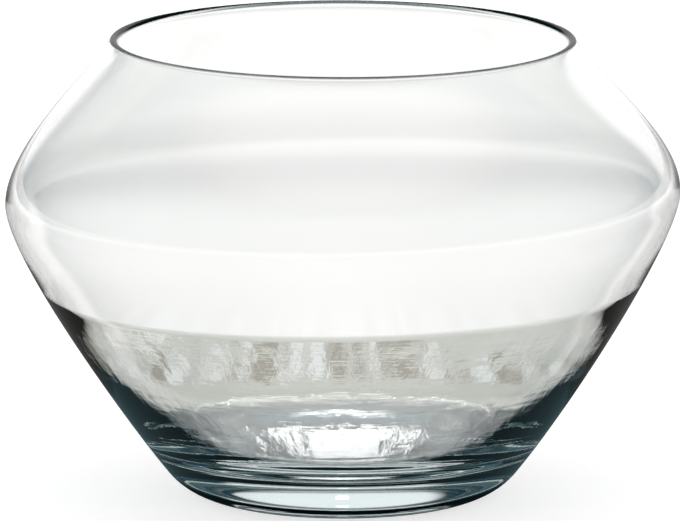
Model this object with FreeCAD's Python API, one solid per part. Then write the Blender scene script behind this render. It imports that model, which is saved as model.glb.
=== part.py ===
# Rose bowl vase in clear glass: a solid base, a wall that flares to a wide belly and
# turns in over a shoulder, and a rounded rim. It is one glass body, built as its zones.
# Millimetres, +Z up, the origin at the middle of the ring that the vase stands on.
import math
import os
import FreeCAD
import Part
from FreeCAD import Vector

# Overall sizes
widest_radius = 100.0
widest_height = 89.5
rim_radius = 69.2
rim_bead_radius = 1.3
rim_centre_height = 135.7

# Foot: a flat standing ring, a shallow hollow under it and a rounded heel
standing_radius = 36.0
hollow_radius = 31.0
hollow_depth = 1.6
heel_radius = 21.0
heel_turn = 51.5

# Outer wall: lean from the vertical in degrees, and how far each curve handle reaches
lower_lean = 38.9
lower_heel_share = 0.25
lower_widest_share = 0.14
shoulder_widest_share = 0.30
shoulder_rim_share = 0.15
shoulder_rim_lean = 20.0

# Inside of the glass: a thin even wall down to a faint bend, then a wall that thickens
# towards a rounded corner and a nearly flat floor. Thicknesses are measured level.
widest_glass = 2.4
shoulder_inner_share = 0.31
neck_handle_share = 0.15
bend_share = 0.645
bend_glass = 2.4
thin_lean = 29.3
thick_lean = 33.4
corner_share = 0.242
corner_glass = 6.0
corner_lean = 42.0
floor_radius = 40.0
floor_edge_height = 16.5
floor_dish = 0.6
thin_widest_share = 0.24
thin_bend_share = 0.35
thick_bend_share = 0.43
thick_corner_share = 0.40
corner_round_share = 0.45

# Half and quarter turns
quarter_turn = 90.0
whole_turn = 360.0

# How far the tools that part one zone from the next run past the glass
overrun = 20.0


def at(radius, height):
    # A point of the half section, radius along X
    return Vector(radius, 0, height)


def step(start, lean, reach):
    # A point reached from start, leaning outward from the vertical
    turn = math.radians(lean)
    return at(start.x + reach * math.sin(turn), start.z + reach * math.cos(turn))


def curve(points):
    bezier = Part.BezierCurve()
    bezier.setPoles(points)
    return bezier.toShape()


def line(start, end):
    return Part.makeLine(start, end)


def arc(start, middle, end):
    return Part.Arc(start, middle, end).toShape()


# Outside of the glass, from the standing ring up to the rim
def heel_point(turn):
    angle = math.radians(turn)
    radius = standing_radius + heel_radius * math.sin(angle)
    return at(radius, heel_radius * (1 - math.cos(angle)))


heel_end = heel_point(heel_turn)
widest = at(widest_radius, widest_height)
rim_centre = at(rim_radius - rim_bead_radius, rim_centre_height)
rim_outer = step(rim_centre, quarter_turn - shoulder_rim_lean, rim_bead_radius)

lower_reach = heel_end.distanceToPoint(widest)
shoulder_reach = widest.distanceToPoint(rim_outer)

heel = arc(heel_point(0), heel_point(heel_turn / 2), heel_end)
lower_outer = curve([
    heel_end,
    step(heel_end, lower_lean, lower_heel_share * lower_reach),
    step(widest, 0, -lower_widest_share * lower_reach),
    widest,
])
shoulder_outer = curve([
    widest,
    step(widest, 0, shoulder_widest_share * shoulder_reach),
    step(rim_outer, -shoulder_rim_lean, -shoulder_rim_share * shoulder_reach),
    rim_outer,
])

# Rounded top of the rim, running smoothly out of both faces of the wall
rim_inner = step(rim_centre, quarter_turn - shoulder_rim_lean, -rim_bead_radius)
rim_top = step(rim_centre, -shoulder_rim_lean, rim_bead_radius)
rim_round = arc(rim_outer, rim_top, rim_inner)

# Inside of the glass, from the rim down to the middle of the floor
def inside_of(edge, share, glass):
    # The point that lies level with a place on an outer curve, a glass thickness further in
    start, end = edge.ParameterRange
    place = edge.valueAt(start + share * (end - start))
    return at(place.x - glass, place.z)


widest_inner = at(widest_radius - widest_glass, widest_height)
bend = inside_of(lower_outer, bend_share, bend_glass)
corner = inside_of(lower_outer, corner_share, corner_glass)
floor_edge = at(floor_radius, floor_edge_height)
floor_middle = at(0, floor_edge_height - floor_dish)

inner_shoulder_reach = widest_inner.distanceToPoint(rim_inner)
thin_reach = widest_inner.distanceToPoint(bend)
thick_reach = bend.distanceToPoint(corner)
corner_reach = corner.distanceToPoint(floor_edge)

shoulder_inner = curve([
    rim_inner,
    step(rim_inner, -shoulder_rim_lean, -neck_handle_share * inner_shoulder_reach),
    step(widest_inner, 0, shoulder_inner_share * inner_shoulder_reach),
    widest_inner,
])
thin_inner = curve([
    widest_inner,
    step(widest_inner, 0, -thin_widest_share * thin_reach),
    step(bend, thin_lean, thin_bend_share * thin_reach),
    bend,
])
thick_inner = curve([
    bend,
    step(bend, thick_lean, -thick_bend_share * thick_reach),
    step(corner, corner_lean, thick_corner_share * thick_reach),
    corner,
])
corner_inner = curve([
    corner,
    step(corner, corner_lean, -corner_round_share * corner_reach),
    step(floor_edge, quarter_turn, corner_round_share * corner_reach),
    floor_edge,
])
floor = curve([
    floor_edge,
    at(floor_radius / 2, floor_middle.z),
    floor_middle,
])

# Underside: the shallow hollow and the flat standing ring
hollow_edge = at(hollow_radius, 0)
hollow_middle = at(0, hollow_depth)
axis_line = line(floor_middle, hollow_middle)
hollow = curve([
    hollow_middle,
    at(hollow_radius / 2, hollow_depth),
    hollow_edge,
])
standing_ring = line(hollow_edge, heel_point(0))

# The whole body of glass, turned about the vertical axis
section = Part.Wire(Part.__sortEdges__([
    heel,
    lower_outer,
    shoulder_outer,
    rim_round,
    shoulder_inner,
    thin_inner,
    thick_inner,
    corner_inner,
    floor,
    axis_line,
    hollow,
    standing_ring,
]))
origin = Vector(0, 0, 0)
up = Vector(0, 0, 1)
glass = Part.Face(section).revolve(origin, up, whole_turn)


def zone(low, high):
    # The glass between two heights
    reach = widest_radius + overrun
    slab = Part.makeCylinder(reach, high - low, at(0, low), up)
    return glass.common(slab)


# Level planes at which one zone of the glass meets the next
base_top = corner.z
thick_wall_top = bend.z
belly_top = widest.z
shoulder_top = rim_centre.z - rim_bead_radius

base = zone(-overrun, base_top)
lower_wall = zone(base_top, thick_wall_top)
belly = zone(thick_wall_top, belly_top)
shoulder = zone(belly_top, shoulder_top)
rim = zone(shoulder_top, rim_top.z + overrun)

os.makedirs("parts", exist_ok=True)
base.exportStep("parts/base.step")
lower_wall.exportStep("parts/lower_wall.step")
belly.exportStep("parts/belly.step")
shoulder.exportStep("parts/shoulder.step")
rim.exportStep("parts/rim.step")
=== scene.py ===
import math

import bmesh
import bpy
from mathutils import Euler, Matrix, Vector
from mathutils.geometry import interpolate_bezier


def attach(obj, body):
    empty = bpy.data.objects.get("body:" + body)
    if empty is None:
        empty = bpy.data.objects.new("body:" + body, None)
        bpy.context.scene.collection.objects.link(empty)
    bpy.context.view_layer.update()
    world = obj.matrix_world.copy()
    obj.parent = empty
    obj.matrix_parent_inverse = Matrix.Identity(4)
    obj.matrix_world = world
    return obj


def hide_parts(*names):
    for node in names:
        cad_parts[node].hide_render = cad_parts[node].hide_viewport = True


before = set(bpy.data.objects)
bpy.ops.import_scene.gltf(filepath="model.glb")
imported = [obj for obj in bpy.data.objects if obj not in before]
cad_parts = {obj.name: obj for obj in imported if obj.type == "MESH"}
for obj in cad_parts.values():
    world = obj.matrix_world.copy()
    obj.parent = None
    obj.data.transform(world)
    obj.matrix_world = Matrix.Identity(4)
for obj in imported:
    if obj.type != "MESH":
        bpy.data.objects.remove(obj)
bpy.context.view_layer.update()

# The camera stands three metres off with a long lens, well above the mouth, and looks
# down at the vase by about eleven degrees, as in the photograph.
right_angle = 90
photo_width = 680
sensor_width = 36.0
lens_pixels = 10298
camera_distance = 3.0
camera_height = 0.645
camera_pitch = 10.85
camera_roll = 0.1
camera_yaw = 0.015
camera_reach = 20.0

camera_data = bpy.data.cameras.new("camera")
camera_data.sensor_width = sensor_width
camera_data.lens = lens_pixels * sensor_width / photo_width
camera_data.clip_end = camera_reach
camera = bpy.data.objects.new("camera", camera_data)
camera.location = (0, -camera_distance, camera_height)
camera_turn = (math.radians(right_angle - camera_pitch), 0, math.radians(camera_yaw))
looking = Euler(camera_turn, "XYZ").to_quaternion()
rolling = Euler((0, 0, math.radians(camera_roll)), "XYZ").to_quaternion()
camera.rotation_euler = (looking @ rolling).to_euler()
bpy.context.scene.collection.objects.link(camera)
bpy.context.scene.camera = camera
bpy.context.scene.view_settings.view_transform = "Standard"

# The vase is one body of clear soda-lime glass, blown and turned in a mould, with a
# heavy base, thin walls and a fire-rounded rim. It is turned here from its half section.
widest_radius = 0.1
widest_height = 0.0895
rim_radius = 0.0692
rim_bead_radius = 0.0013
rim_centre_height = 0.1357
standing_radius = 0.036
hollow_radius = 0.031
hollow_depth = 0.0016
heel_radius = 0.021
heel_turn = 51.5

# Outer wall: leans in degrees from the vertical, and how far each curve handle reaches
lower_lean = 38.9
lower_heel_share = 0.25
lower_widest_share = 0.14
shoulder_widest_share = 0.30
shoulder_rim_share = 0.15
shoulder_rim_lean = 20.0

# Inside of the glass: a thin wall down to a faint bend, then a thicker one to the floor
widest_glass = 0.0024
shoulder_inner_share = 0.31
neck_handle_share = 0.15
bend_share = 0.645
bend_glass = 0.0024
thin_lean = 29.3
thick_lean = 33.4
corner_share = 0.242
corner_glass = 0.006
corner_lean = 42.0
floor_radius = 0.04
floor_edge_height = 0.0165
floor_dish = 0.0006
thin_widest_share = 0.24
thin_bend_share = 0.35
thick_bend_share = 0.43
thick_corner_share = 0.40
corner_round_share = 0.45
dish_handle_share = 2 / 3


def at(radius, height):
    return Vector((radius, 0, height))


def step(start, lean, reach):
    # A point reached from start, leaning outward from the vertical
    turn = math.radians(lean)
    return start + Vector((reach * math.sin(turn), 0, reach * math.cos(turn)))


def curve(start, start_handle, end_handle, end, count):
    # All the points but the last, which starts the next stretch
    return interpolate_bezier(start, start_handle, end_handle, end, count + 1)[:-1]


def heel_point(turn):
    angle = math.radians(turn)
    return at(standing_radius + heel_radius * math.sin(angle), heel_radius * (1 - math.cos(angle)))


heel_end = heel_point(heel_turn)
widest = at(widest_radius, widest_height)
rim_centre = at(rim_radius - rim_bead_radius, rim_centre_height)
rim_outer_turn = right_angle - shoulder_rim_lean
rim_outer = step(rim_centre, rim_outer_turn, rim_bead_radius)
rim_inner = step(rim_centre, rim_outer_turn, -rim_bead_radius)
lower_reach = (widest - heel_end).length
shoulder_reach = (widest - rim_outer).length
lower_poles = (
    heel_end,
    step(heel_end, lower_lean, lower_heel_share * lower_reach),
    step(widest, 0, -lower_widest_share * lower_reach),
    widest,
)


def inside_of(poles, share, glass):
    # The point level with a place on an outer curve, a glass thickness further in
    while len(poles) > 1:
        poles = [first.lerp(second, share) for first, second in zip(poles, poles[1:])]
    return poles[0] - Vector((glass, 0, 0))


widest_inner = at(widest_radius - widest_glass, widest_height)
bend = inside_of(lower_poles, bend_share, bend_glass)
corner = inside_of(lower_poles, corner_share, corner_glass)
floor_edge = at(floor_radius, floor_edge_height)
floor_middle = at(0, floor_edge_height - floor_dish)
floor_turn = at(floor_radius / 2, floor_middle.z)
hollow_edge = at(hollow_radius, 0)
hollow_middle = at(0, hollow_depth)
hollow_turn = at(hollow_radius / 2, hollow_depth)
inner_shoulder_reach = (widest_inner - rim_inner).length
thin_reach = (widest_inner - bend).length
thick_reach = (bend - corner).length
corner_reach = (corner - floor_edge).length

heel_count = 14
wall_count = 60
rim_count = 12
floor_count = 14

# The half section, from the middle of the hollow, up the outside and down the inside
section = []
section += curve(
    hollow_middle,
    hollow_middle.lerp(hollow_turn, dish_handle_share),
    hollow_edge.lerp(hollow_turn, dish_handle_share),
    hollow_edge,
    floor_count,
)
section += [hollow_edge]
section += [heel_point(heel_turn * index / heel_count) for index in range(heel_count)]
section += curve(*lower_poles, wall_count)
section += curve(
    widest,
    step(widest, 0, shoulder_widest_share * shoulder_reach),
    step(rim_outer, -shoulder_rim_lean, -shoulder_rim_share * shoulder_reach),
    rim_outer,
    wall_count,
)
section += [
    step(rim_centre, rim_outer_turn - 2 * right_angle * index / rim_count, rim_bead_radius)
    for index in range(rim_count)
]
section += curve(
    rim_inner,
    step(rim_inner, -shoulder_rim_lean, -neck_handle_share * inner_shoulder_reach),
    step(widest_inner, 0, shoulder_inner_share * inner_shoulder_reach),
    widest_inner,
    wall_count,
)
section += curve(
    widest_inner,
    step(widest_inner, 0, -thin_widest_share * thin_reach),
    step(bend, thin_lean, thin_bend_share * thin_reach),
    bend,
    wall_count // 2,
)
section += curve(
    bend,
    step(bend, thick_lean, -thick_bend_share * thick_reach),
    step(corner, corner_lean, thick_corner_share * thick_reach),
    corner,
    wall_count // 2,
)
section += curve(
    corner,
    step(corner, corner_lean, -corner_round_share * corner_reach),
    step(floor_edge, right_angle, corner_round_share * corner_reach),
    floor_edge,
    wall_count // 3,
)
section += curve(
    floor_edge,
    floor_edge.lerp(floor_turn, dish_handle_share),
    floor_middle.lerp(floor_turn, dish_handle_share),
    floor_middle,
    floor_count,
)
section += [floor_middle]

turn_count = 256
merge_distance = 0.000005
belly_tilt_share = 0.022

shape = bmesh.new()
points = [shape.verts.new(point) for point in section]
chain = [shape.edges.new(pair) for pair in zip(points, points[1:])]
bmesh.ops.spin(
    shape,
    geom=points + chain,
    cent=(0, 0, 0),
    axis=(0, 0, 1),
    angle=math.tau,
    steps=turn_count,
    use_merge=True,
)
bmesh.ops.remove_doubles(shape, verts=shape.verts, dist=merge_distance)
bmesh.ops.recalc_face_normals(shape, faces=shape.faces)


def eased(share):
    # Nothing below 0 and all of it above 1, with a soft start and end
    share = min(max(share, 0), 1)
    return share * share * (3 - 2 * share)


# The belly lies a little askew on the foot, as in the photograph
shoulder_height = rim_centre_height - rim_bead_radius - widest_height
for vert in shape.verts:
    height = vert.co.z
    if height < widest_height:
        reach = eased(height / widest_height)
    else:
        reach = 1 - eased((height - widest_height) / shoulder_height)
    vert.co.z += belly_tilt_share * vert.co.x * reach
for face in shape.faces:
    face.smooth = True
vase_mesh = bpy.data.meshes.new("glass_vase")
shape.to_mesh(vase_mesh)
shape.free()
vase = bpy.data.objects.new("glass_vase", vase_mesh)
bpy.context.scene.collection.objects.link(vase)


def new_material(name):
    made = bpy.data.materials.new(name)
    made.use_nodes = True
    made.node_tree.nodes.clear()
    return made, made.node_tree.nodes, made.node_tree.links


def reckon(nodes, links, operation, first, second):
    node = nodes.new("ShaderNodeMath")
    node.operation = operation
    for socket, value in zip(node.inputs, (first, second)):
        if isinstance(value, (int, float)):
            socket.default_value = value
        else:
            links.new(value, socket)
    return node.outputs["Value"]


def fade(nodes, links, value, start, end, low, high):
    # From low at the start to high at the end, with a soft start and end
    node = nodes.new("ShaderNodeMapRange")
    node.interpolation_type = "SMOOTHSTEP"
    links.new(value, node.inputs["Value"])
    node.inputs["From Min"].default_value = start
    node.inputs["From Max"].default_value = end
    node.inputs["To Min"].default_value = low
    node.inputs["To Max"].default_value = high
    return node.outputs["Result"]


def blend(nodes, links, way, factor, first, second):
    # The first colour at a factor of 0, going over to the second or multiplied by it
    node = nodes.new("ShaderNodeMix")
    node.data_type = "RGBA"
    node.blend_type = way
    links.new(factor, node.inputs["Factor"])
    for socket, value in ((node.inputs["A"], first), (node.inputs["B"], second)):
        if isinstance(value, tuple):
            socket.default_value = value
        else:
            links.new(value, socket)
    return node.outputs["Result"]


def waves(nodes, links, place, scale, depth):
    # Soft uneven waves, drawn out by a scale for each direction
    wave_scale = 1.0
    wave_detail = 4.0
    stretched = nodes.new("ShaderNodeMapping")
    stretched.inputs["Scale"].default_value = scale
    links.new(place, stretched.inputs["Vector"])
    uneven = nodes.new("ShaderNodeTexNoise")
    uneven.inputs["Scale"].default_value = wave_scale
    uneven.inputs["Detail"].default_value = wave_detail
    links.new(stretched.outputs["Vector"], uneven.inputs["Vector"])
    return reckon(nodes, links, "MULTIPLY", uneven.outputs["Fac"], depth)


# Clear polished glass with a faint green-blue tint in its thickness
glass_roughness = 0.0
glass_bending = 1.52
glass_clearness = 1.0
glass_tint = (0.38, 0.47, 0.48, 1)
glass_density = 11.0
glass, nodes, links = new_material("clear_glass")
surface = nodes.new("ShaderNodeBsdfPrincipled")
surface.inputs["Roughness"].default_value = glass_roughness
surface.inputs["IOR"].default_value = glass_bending
surface.inputs["Transmission Weight"].default_value = glass_clearness
tint = nodes.new("ShaderNodeVolumeAbsorption")
tint.inputs["Color"].default_value = glass_tint
tint.inputs["Density"].default_value = glass_density
place = nodes.new("ShaderNodeTexCoord").outputs["Object"]
axes = nodes.new("ShaderNodeSeparateXYZ")
links.new(place, axes.inputs["Vector"])

# Painted shade: the top of the rim's bead is painted darker, for a thin dark line along the rim
rim_plain = (1, 1, 1, 1)
painted_rim_shade = (0.1, 0.11, 0.11, 1)
painted_rim_shade_start = 0.0005
painted_rim_shade_full = 0.001
rim_shade_low = rim_centre_height + painted_rim_shade_start
rim_shade_high = rim_centre_height + painted_rim_shade_full
rim_shade_share = fade(nodes, links, axes.outputs["Z"], rim_shade_low, rim_shade_high, 0, 1)
links.new(blend(nodes, links, "MIX", rim_shade_share, rim_plain, painted_rim_shade), surface.inputs["Base Color"])

# Small waves that the mould left on the thick lower wall, calmer towards the sides
ripple_scale = (22, 22, 230)
ripple_depth = 0.00007
flute_scale = (150, 150, 14)
flute_depth = 0.0001
wave_low = 0.018
wave_high = 0.056
wave_fade = 0.01
calm_start = 0.04
calm_end = 0.075
calm_share = 0.25
bump_distance = 1.0
lower = fade(nodes, links, axes.outputs["Z"], wave_low, wave_low + wave_fade, 0, 1)
upper = fade(nodes, links, axes.outputs["Z"], wave_high, wave_high + wave_fade, 1, 0)
rolled = waves(nodes, links, place, ripple_scale, ripple_depth)
fluted = waves(nodes, links, place, flute_scale, flute_depth)
wavy = reckon(nodes, links, "ADD", rolled, fluted)
wavy = reckon(nodes, links, "MULTIPLY", wavy, reckon(nodes, links, "MULTIPLY", lower, upper))
aside = reckon(nodes, links, "ABSOLUTE", axes.outputs["X"], 0)
calm = fade(nodes, links, aside, calm_start, calm_end, 1, calm_share)
wavy = reckon(nodes, links, "MULTIPLY", wavy, calm)
bump = nodes.new("ShaderNodeBump")
bump.inputs["Distance"].default_value = bump_distance
links.new(wavy, bump.inputs["Height"])
links.new(bump.outputs["Normal"], surface.inputs["Normal"])
output = nodes.new("ShaderNodeOutputMaterial")
links.new(surface.outputs["BSDF"], output.inputs["Surface"])
links.new(tint.outputs["Volume"], output.inputs["Volume"])
vase_mesh.materials.append(glass)
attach(vase, "root")
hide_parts("base", "lower_wall", "belly", "shoulder", "rim")

# The floor is a plain white sweep of paper under the vase. Seen directly it is plain
# white with the vase's shadow. Seen in the glass it carries painted shade and light round the vase.
floor_reach = 5.0
floor_gap = 0.0002
paper_white = 0.6
paper_glow = 0.6
shape = bmesh.new()
bmesh.ops.create_grid(shape, x_segments=1, y_segments=1, size=floor_reach)
bmesh.ops.translate(shape, vec=(0, 0, -floor_gap), verts=shape.verts)
floor_mesh = bpy.data.meshes.new("floor")
shape.to_mesh(floor_mesh)
shape.free()
floor = bpy.data.objects.new("floor", floor_mesh)
bpy.context.scene.collection.objects.link(floor)


def length_of(nodes, links, vector):
    node = nodes.new("ShaderNodeVectorMath")
    node.operation = "LENGTH"
    links.new(vector, node.inputs[0])
    return node.outputs["Value"]


# The paper as the camera sees it
paper, nodes, links = new_material("white_paper")
matt = nodes.new("ShaderNodeBsdfDiffuse")
matt.inputs["Color"].default_value = (paper_white, paper_white, paper_white, 1)
path = nodes.new("ShaderNodeLightPath")
glossy = path.outputs["Is Glossy Ray"]
passed = path.outputs["Is Transmission Ray"]
glow = nodes.new("ShaderNodeEmission")
direct_glow = reckon(nodes, links, "MULTIPLY", path.outputs["Is Camera Ray"], paper_glow)
links.new(direct_glow, glow.inputs["Strength"])
lit = nodes.new("ShaderNodeAddShader")
links.new(matt.outputs["BSDF"], lit.inputs[0])
links.new(glow.outputs["Emission"], lit.inputs[1])
place = nodes.new("ShaderNodeTexCoord").outputs["Object"]
distance = length_of(nodes, links, place)

# Painted shadow: in the glass the paper is painted dark under the foot and a little grey near it
painted_shade_under_foot = (0.07, 0.09, 0.085, 1)
painted_shade_near_foot = (0.66, 0.665, 0.61, 1)
under_start = 0.046
under_end = 0.058
from_under = fade(nodes, links, distance, under_start, under_end, 0, 1)
below = blend(nodes, links, "MIX", from_under, painted_shade_under_foot, painted_shade_near_foot)

# A ring of soft painted light and shade streaks lies round the vase, for light cast through the glass
# onto the paper
streak_scale = (110, 5, 1)
streak_start = 0.104
streak_end = 0.127
streak_fade = 0.006
streak_low = 0.42
streak_high = 0.62
painted_streak_shade = (0.42, 0.39, 0.33, 1)
painted_streak_light = (0.9, 0.92, 0.9, 1)
uneven = waves(nodes, links, place, streak_scale, 1)
streaky = fade(nodes, links, uneven, streak_low, streak_high, 0, 1)
streak = blend(nodes, links, "MIX", streaky, painted_streak_shade, painted_streak_light)
ring_start = fade(nodes, links, distance, streak_start, streak_start + streak_fade, 0, 1)
ring_end = fade(nodes, links, distance, streak_end, streak_end + streak_fade, 1, 0)
in_ring = reckon(nodes, links, "MULTIPLY", ring_start, ring_end)
ring = blend(nodes, links, "MIX", in_ring, below, streak)

# One soft painted light patch lies behind the vase to the left
glint_centre = (-0.078, 0.123, 0)
glint_size = (0.024, 0.005, 1)
glint_edge = 0.7
glint_colour = (1.0, 0.98, 0.93, 1)
from_glint = nodes.new("ShaderNodeVectorMath")
from_glint.operation = "SUBTRACT"
links.new(place, from_glint.inputs[0])
from_glint.inputs[1].default_value = glint_centre
drawn_out = nodes.new("ShaderNodeVectorMath")
drawn_out.operation = "DIVIDE"
links.new(from_glint.outputs["Vector"], drawn_out.inputs[0])
drawn_out.inputs[1].default_value = glint_size
glint_reach = length_of(nodes, links, drawn_out.outputs["Vector"])
in_glint = fade(nodes, links, glint_reach, glint_edge, 1, 1, 0)
glint = blend(nodes, links, "MIX", in_glint, ring, glint_colour)

# Further off it is white
far_colour = (1.13, 1.13, 1.11, 1)
shade_start = 0.125
shade_end = 0.2
outward = fade(nodes, links, distance, shade_start, shade_end, 0, 1)
shade = blend(nodes, links, "MIX", outward, glint, far_colour)

# Painted shade and painted reflection: light that met the glass many times is darkened to teal near
# the foot, and plain mirror images are tinted teal there
direct_depth = 4
long_way_shade = (0.2, 0.34, 0.4, 1)
mirror_reflection_tint = (1.1, 1.9, 2.3, 1)
teal_start = 0.115
teal_end = 0.135
deep = fade(nodes, links, path.outputs["Ray Depth"], direct_depth, direct_depth + 1, 0, 1)
close_by = fade(nodes, links, distance, teal_start, teal_end, 1, 0)
deep_near = reckon(nodes, links, "MULTIPLY", deep, close_by)
tinted = blend(nodes, links, "MULTIPLY", deep_near, shade, long_way_shade)
mirrored = reckon(nodes, links, "GREATER_THAN", glossy, passed)
mirrored_near = reckon(nodes, links, "MULTIPLY", mirrored, close_by)
facing = blend(nodes, links, "MULTIPLY", mirrored_near, tinted, mirror_reflection_tint)

# Painted shade: plain mirror images are dimmed in a wide ring, most of all near the vase
mirror_shade_end = 2.2
mirror_dimming = 0.9
dim = fade(nodes, links, distance, shade_start, mirror_shade_end, mirror_dimming, 0)
kept = reckon(nodes, links, "SUBTRACT", 1, reckon(nodes, links, "MULTIPLY", dim, mirrored))

# Painted shade: a slightly grey ring lies further out
shade_ring_start = 0.38
shade_ring_full = 0.56
shade_ring_waning = 0.6
shade_ring_end = 0.78
shade_ring_dimming = 0.19
shade_ring_near = fade(nodes, links, distance, shade_ring_start, shade_ring_full, 0, shade_ring_dimming)
shade_ring_far = fade(nodes, links, distance, shade_ring_waning, shade_ring_end, 1, 0)
shade_ring_kept = reckon(nodes, links, "SUBTRACT", 1, reckon(nodes, links, "MULTIPLY", shade_ring_near, shade_ring_far))

through = nodes.new("ShaderNodeEmission")
links.new(facing, through.inputs["Color"])
links.new(reckon(nodes, links, "MULTIPLY", kept, shade_ring_kept), through.inputs["Strength"])
either = nodes.new("ShaderNodeMixShader")
links.new(reckon(nodes, links, "MAXIMUM", glossy, passed), either.inputs["Fac"])
links.new(lit.outputs["Shader"], either.inputs[1])
links.new(through.outputs["Emission"], either.inputs[2])
output = nodes.new("ShaderNodeOutputMaterial")
links.new(either.outputs["Shader"], output.inputs["Surface"])
floor_mesh.materials.append(paper)

# Light is followed for seven meetings with the glass. What runs on longer inside the
# thick base is lost, which leaves dark places in it.
light_path_length = 7
cycles = bpy.context.scene.cycles
cycles.max_bounces = light_path_length
cycles.transmission_bounces = light_path_length
cycles.glossy_bounces = light_path_length

# The studio that the glass shows is bright overhead and has a white screen behind the
# vase with a small bright pane in it, and dark teal walls.
world = bpy.data.worlds.new("studio")
bpy.context.scene.world = world
world.use_nodes = True
nodes, links = world.node_tree.nodes, world.node_tree.links
direction = nodes.new("ShaderNodeTexCoord").outputs["Generated"]
axes = nodes.new("ShaderNodeSeparateXYZ")
links.new(direction, axes.inputs["Vector"])
path = nodes.new("ShaderNodeLightPath")
rise = axes.outputs["Z"]
least_ahead = 0.0001
ahead = reckon(nodes, links, "MAXIMUM", axes.outputs["Y"], least_ahead)
slant = reckon(nodes, links, "DIVIDE", axes.outputs["X"], ahead)

# Soft light from overhead
top_light = 1.1
top_start = 0.72
top_end = 0.95
above = fade(nodes, links, rise, top_start, top_end, 0, top_light)

# The screen, dimmer in plain mirror images
screen_light = 1.75
screen_top = 0.5
screen_half_width = 0.58
screen_fade = 0.1
screen_shift = 0.1
mirrored_screen_share = 0.3
shifted = reckon(nodes, links, "SUBTRACT", slant, screen_shift)
off_screen = reckon(nodes, links, "ABSOLUTE", shifted, 0)
screen_edge = screen_half_width - screen_fade
screen_end = screen_half_width + screen_fade
across = fade(nodes, links, off_screen, screen_edge, screen_end, screen_light, 0)
upward = fade(nodes, links, rise, screen_top - screen_fade, screen_top + screen_fade, 1, 0)
screen = reckon(nodes, links, "MULTIPLY", across, upward)
glossy = path.outputs["Is Glossy Ray"]
passed = path.outputs["Is Transmission Ray"]
mirrored = reckon(nodes, links, "GREATER_THAN", glossy, passed)
weaker = fade(nodes, links, mirrored, 0, 1, 1, mirrored_screen_share)
screen = reckon(nodes, links, "MULTIPLY", screen, weaker)

# The pane in it
pane_light = 5.0
pane_low = 0.225
pane_high = 0.3
pane_half_width = 0.022
pane_fade = 0.006
aside = reckon(nodes, links, "ABSOLUTE", slant, 0)
pane_side = pane_half_width - pane_fade
pane_end = pane_half_width + pane_fade
pane = fade(nodes, links, aside, pane_side, pane_end, pane_light, 0)
pane_foot = fade(nodes, links, rise, pane_low - pane_fade, pane_low + pane_fade, 0, 1)
pane_head = fade(nodes, links, rise, pane_high - pane_fade, pane_high + pane_fade, 1, 0)
pane = reckon(nodes, links, "MULTIPLY", pane, reckon(nodes, links, "MULTIPLY", pane_foot, pane_head))
studio = reckon(nodes, links, "ADD", reckon(nodes, links, "ADD", above, screen), pane)

# The camera and the paper see plain white instead
plain_light = 1.0
plain = reckon(nodes, links, "MAXIMUM", path.outputs["Is Camera Ray"], path.outputs["Is Diffuse Ray"])
mixed = nodes.new("ShaderNodeMix")
links.new(plain, mixed.inputs["Factor"])
links.new(studio, mixed.inputs["A"])
mixed.inputs["B"].default_value = plain_light

# The walls, wherever nothing brighter is
wall_light = 0.12
wall_colour = (0.15, 0.55, 0.75, 1)
bright_colour = (1, 1, 1, 1)
wall_share = 4
background = nodes["Background"]
strength = reckon(nodes, links, "MAXIMUM", mixed.outputs["Result"], wall_light)
links.new(strength, background.inputs["Strength"])
off_wall = reckon(nodes, links, "MULTIPLY", mixed.outputs["Result"], wall_share)
links.new(blend(nodes, links, "MIX", off_wall, wall_colour, bright_colour), background.inputs["Color"])
